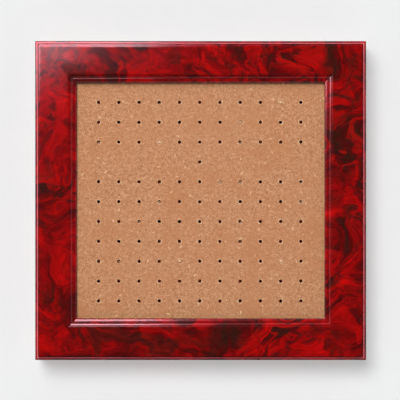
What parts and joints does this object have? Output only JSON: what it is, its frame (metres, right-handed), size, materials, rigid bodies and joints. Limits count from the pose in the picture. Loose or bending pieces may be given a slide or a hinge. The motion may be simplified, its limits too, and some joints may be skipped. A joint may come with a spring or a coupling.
{
  "type": "pin art impression toy",
  "caption": "Pin art impression toy: a square-grid drilled face board with sliding captive pins, in a wide mitred picture-frame moulding, with an open back to press.",
  "frame": {"origin": "centre of the footprint on the surface that the rubber feet stand on, with the toy lying on its back, face up", "axes": "+Z out of the drilled face, +X along the longer side of the frame towards the right of the face, +Y along the shorter side towards the top of the face"},
  "size_m": [0.2074, 0.2, 0.0312],
  "materials": {
    "marbled_moulding": "marbled red and dark brown lacquer under a clear gloss coat",
    "face_board": "bare tan hardboard, matte",
    "black_plate": "black-faced hardboard, matte",
    "spacer_wood": "planed softwood, bare",
    "back_wood": "sawn pine, bare",
    "nail_steel": "bare steel strip",
    "screw_steel": "zinc-plated steel",
    "foot_rubber": "black rubber, matte",
    "pin_wood": "pale turned beech, lightly polished"
  },
  "bodies": {
    "frame": {"back_screws": "screw_steel", "back_strip_bottom": "back_wood", "back_strip_left": "back_wood", "back_strip_right": "back_wood", "back_strip_top": "back_wood", "face_board": "face_board", "frame_rail_bottom": "marbled_moulding", "frame_rail_left": "marbled_moulding", "frame_rail_right": "marbled_moulding", "frame_rail_top": "marbled_moulding", "guide_plate": "black_plate", "lower_spacer_bottom": "spacer_wood", "lower_spacer_left": "spacer_wood", "lower_spacer_right": "spacer_wood", "lower_spacer_top": "spacer_wood", "mitre_nails": "nail_steel", "rear_plate": "black_plate", "rubber_feet": "foot_rubber", "upper_spacer_bottom": "spacer_wood", "upper_spacer_left": "spacer_wood", "upper_spacer_right": "spacer_wood", "upper_spacer_top": "spacer_wood"},
    "pin_column_10_row_1": {"pin_column_10_row_1": "pin_wood"},
    "pin_column_10_row_9": {"pin_column_10_row_9": "pin_wood"},
    "pin_column_11_row_5": {"pin_column_11_row_5": "pin_wood"},
    "pin_column_11_row_6": {"pin_column_11_row_6": "pin_wood"},
    "pin_column_1_row_3": {"pin_column_1_row_3": "pin_wood"},
    "pin_column_2_row_9": {"pin_column_2_row_9": "pin_wood"},
    "pin_column_3_row_7": {"pin_column_3_row_7": "pin_wood"},
    "pin_column_4_row_3": {"pin_column_4_row_3": "pin_wood"},
    "pin_column_4_row_6": {"pin_column_4_row_6": "pin_wood"},
    "pin_column_5_row_9": {"pin_column_5_row_9": "pin_wood"},
    "pin_column_7_row_5": {"pin_column_7_row_5": "pin_wood"},
    "pin_column_8_row_2": {"pin_column_8_row_2": "pin_wood"},
    "pin_column_8_row_3": {"pin_column_8_row_3": "pin_wood"},
    "pin_column_8_row_5": {"pin_column_8_row_5": "pin_wood"},
    "pin_column_8_row_7": {"pin_column_8_row_7": "pin_wood"},
    "pin_column_8_row_8": {"pin_column_8_row_8": "pin_wood"},
    "pin_short_row": {"pin_short_row": "pin_wood"},
    "pins_bottom_left": {"pins_bottom_left": "pin_wood"},
    "pins_bottom_mid_left": {"pins_bottom_mid_left": "pin_wood"},
    "pins_bottom_mid_right": {"pins_bottom_mid_right": "pin_wood"},
    "pins_bottom_right": {"pins_bottom_right": "pin_wood"},
    "pins_lower_left": {"pins_lower_left": "pin_wood"},
    "pins_lower_mid_left": {"pins_lower_mid_left": "pin_wood"},
    "pins_lower_mid_right": {"pins_lower_mid_right": "pin_wood"},
    "pins_lower_right": {"pins_lower_right": "pin_wood"},
    "pins_top_left": {"pins_top_left": "pin_wood"},
    "pins_top_mid_left": {"pins_top_mid_left": "pin_wood"},
    "pins_top_mid_right": {"pins_top_mid_right": "pin_wood"},
    "pins_top_right": {"pins_top_right": "pin_wood"},
    "pins_upper_left": {"pins_upper_left": "pin_wood"},
    "pins_upper_mid_left": {"pins_upper_mid_left": "pin_wood"},
    "pins_upper_mid_right": {"pins_upper_mid_right": "pin_wood"},
    "pins_upper_right": {"pins_upper_right": "pin_wood"}
  },
  "joints": [
    {"name": "pin_column_10_row_1_slide", "type": "slide", "parent": "frame", "child": "pin_column_10_row_1", "axis": [0, 0, 1], "range_m": [-0.004, 0.005]},
    {"name": "pin_column_10_row_9_slide", "type": "slide", "parent": "frame", "child": "pin_column_10_row_9", "axis": [0, 0, 1], "range_m": [-0.004, 0.005]},
    {"name": "pin_column_11_row_5_slide", "type": "slide", "parent": "frame", "child": "pin_column_11_row_5", "axis": [0, 0, 1], "range_m": [-0.0021, 0.0069]},
    {"name": "pin_column_11_row_6_slide", "type": "slide", "parent": "frame", "child": "pin_column_11_row_6", "axis": [0, 0, 1], "range_m": [-0.0027, 0.0063]},
    {"name": "pin_column_1_row_3_slide", "type": "slide", "parent": "frame", "child": "pin_column_1_row_3", "axis": [0, 0, 1], "range_m": [-0.0025, 0.0065]},
    {"name": "pin_column_2_row_9_slide", "type": "slide", "parent": "frame", "child": "pin_column_2_row_9", "axis": [0, 0, 1], "range_m": [-0.0026, 0.0064]},
    {"name": "pin_column_3_row_7_slide", "type": "slide", "parent": "frame", "child": "pin_column_3_row_7", "axis": [0, 0, 1], "range_m": [-0.0028, 0.0062]},
    {"name": "pin_column_4_row_3_slide", "type": "slide", "parent": "frame", "child": "pin_column_4_row_3", "axis": [0, 0, 1], "range_m": [-0.004, 0.005]},
    {"name": "pin_column_4_row_6_slide", "type": "slide", "parent": "frame", "child": "pin_column_4_row_6", "axis": [0, 0, 1], "range_m": [-0.0029, 0.0061]},
    {"name": "pin_column_5_row_9_slide", "type": "slide", "parent": "frame", "child": "pin_column_5_row_9", "axis": [0, 0, 1], "range_m": [-0.00385, 0.00515]},
    {"name": "pin_column_7_row_5_slide", "type": "slide", "parent": "frame", "child": "pin_column_7_row_5", "axis": [0, 0, 1], "range_m": [-0.00335, 0.00565]},
    {"name": "pin_column_8_row_2_slide", "type": "slide", "parent": "frame", "child": "pin_column_8_row_2", "axis": [0, 0, 1], "range_m": [-0.0035, 0.0055]},
    {"name": "pin_column_8_row_3_slide", "type": "slide", "parent": "frame", "child": "pin_column_8_row_3", "axis": [0, 0, 1], "range_m": [-0.0024, 0.0066]},
    {"name": "pin_column_8_row_5_slide", "type": "slide", "parent": "frame", "child": "pin_column_8_row_5", "axis": [0, 0, 1], "range_m": [-0.00295, 0.00605]},
    {"name": "pin_column_8_row_7_slide", "type": "slide", "parent": "frame", "child": "pin_column_8_row_7", "axis": [0, 0, 1], "range_m": [-0.0023, 0.0067]},
    {"name": "pin_column_8_row_8_slide", "type": "slide", "parent": "frame", "child": "pin_column_8_row_8", "axis": [0, 0, 1], "range_m": [-0.0021, 0.0069]},
    {"name": "pin_short_row_slide", "type": "slide", "parent": "frame", "child": "pin_short_row", "axis": [0, 0, 1], "range_m": [0, 0.009]},
    {"name": "pins_bottom_left_slide", "type": "slide", "parent": "frame", "child": "pins_bottom_left", "axis": [0, 0, 1], "range_m": [0, 0.009]},
    {"name": "pins_bottom_mid_left_slide", "type": "slide", "parent": "frame", "child": "pins_bottom_mid_left", "axis": [0, 0, 1], "range_m": [0, 0.009]},
    {"name": "pins_bottom_mid_right_slide", "type": "slide", "parent": "frame", "child": "pins_bottom_mid_right", "axis": [0, 0, 1], "range_m": [0, 0.009]},
    {"name": "pins_bottom_right_slide", "type": "slide", "parent": "frame", "child": "pins_bottom_right", "axis": [0, 0, 1], "range_m": [0, 0.009]},
    {"name": "pins_lower_left_slide", "type": "slide", "parent": "frame", "child": "pins_lower_left", "axis": [0, 0, 1], "range_m": [0, 0.009]},
    {"name": "pins_lower_mid_left_slide", "type": "slide", "parent": "frame", "child": "pins_lower_mid_left", "axis": [0, 0, 1], "range_m": [0, 0.009]},
    {"name": "pins_lower_mid_right_slide", "type": "slide", "parent": "frame", "child": "pins_lower_mid_right", "axis": [0, 0, 1], "range_m": [0, 0.009]},
    {"name": "pins_lower_right_slide", "type": "slide", "parent": "frame", "child": "pins_lower_right", "axis": [0, 0, 1], "range_m": [0, 0.009]},
    {"name": "pins_top_left_slide", "type": "slide", "parent": "frame", "child": "pins_top_left", "axis": [0, 0, 1], "range_m": [0, 0.009]},
    {"name": "pins_top_mid_left_slide", "type": "slide", "parent": "frame", "child": "pins_top_mid_left", "axis": [0, 0, 1], "range_m": [0, 0.009]},
    {"name": "pins_top_mid_right_slide", "type": "slide", "parent": "frame", "child": "pins_top_mid_right", "axis": [0, 0, 1], "range_m": [0, 0.009]},
    {"name": "pins_top_right_slide", "type": "slide", "parent": "frame", "child": "pins_top_right", "axis": [0, 0, 1], "range_m": [0, 0.009]},
    {"name": "pins_upper_left_slide", "type": "slide", "parent": "frame", "child": "pins_upper_left", "axis": [0, 0, 1], "range_m": [0, 0.009]},
    {"name": "pins_upper_mid_left_slide", "type": "slide", "parent": "frame", "child": "pins_upper_mid_left", "axis": [0, 0, 1], "range_m": [0, 0.009]},
    {"name": "pins_upper_mid_right_slide", "type": "slide", "parent": "frame", "child": "pins_upper_mid_right", "axis": [0, 0, 1], "range_m": [0, 0.009]},
    {"name": "pins_upper_right_slide", "type": "slide", "parent": "frame", "child": "pins_upper_right", "axis": [0, 0, 1], "range_m": [0, 0.009]}
  ]
}
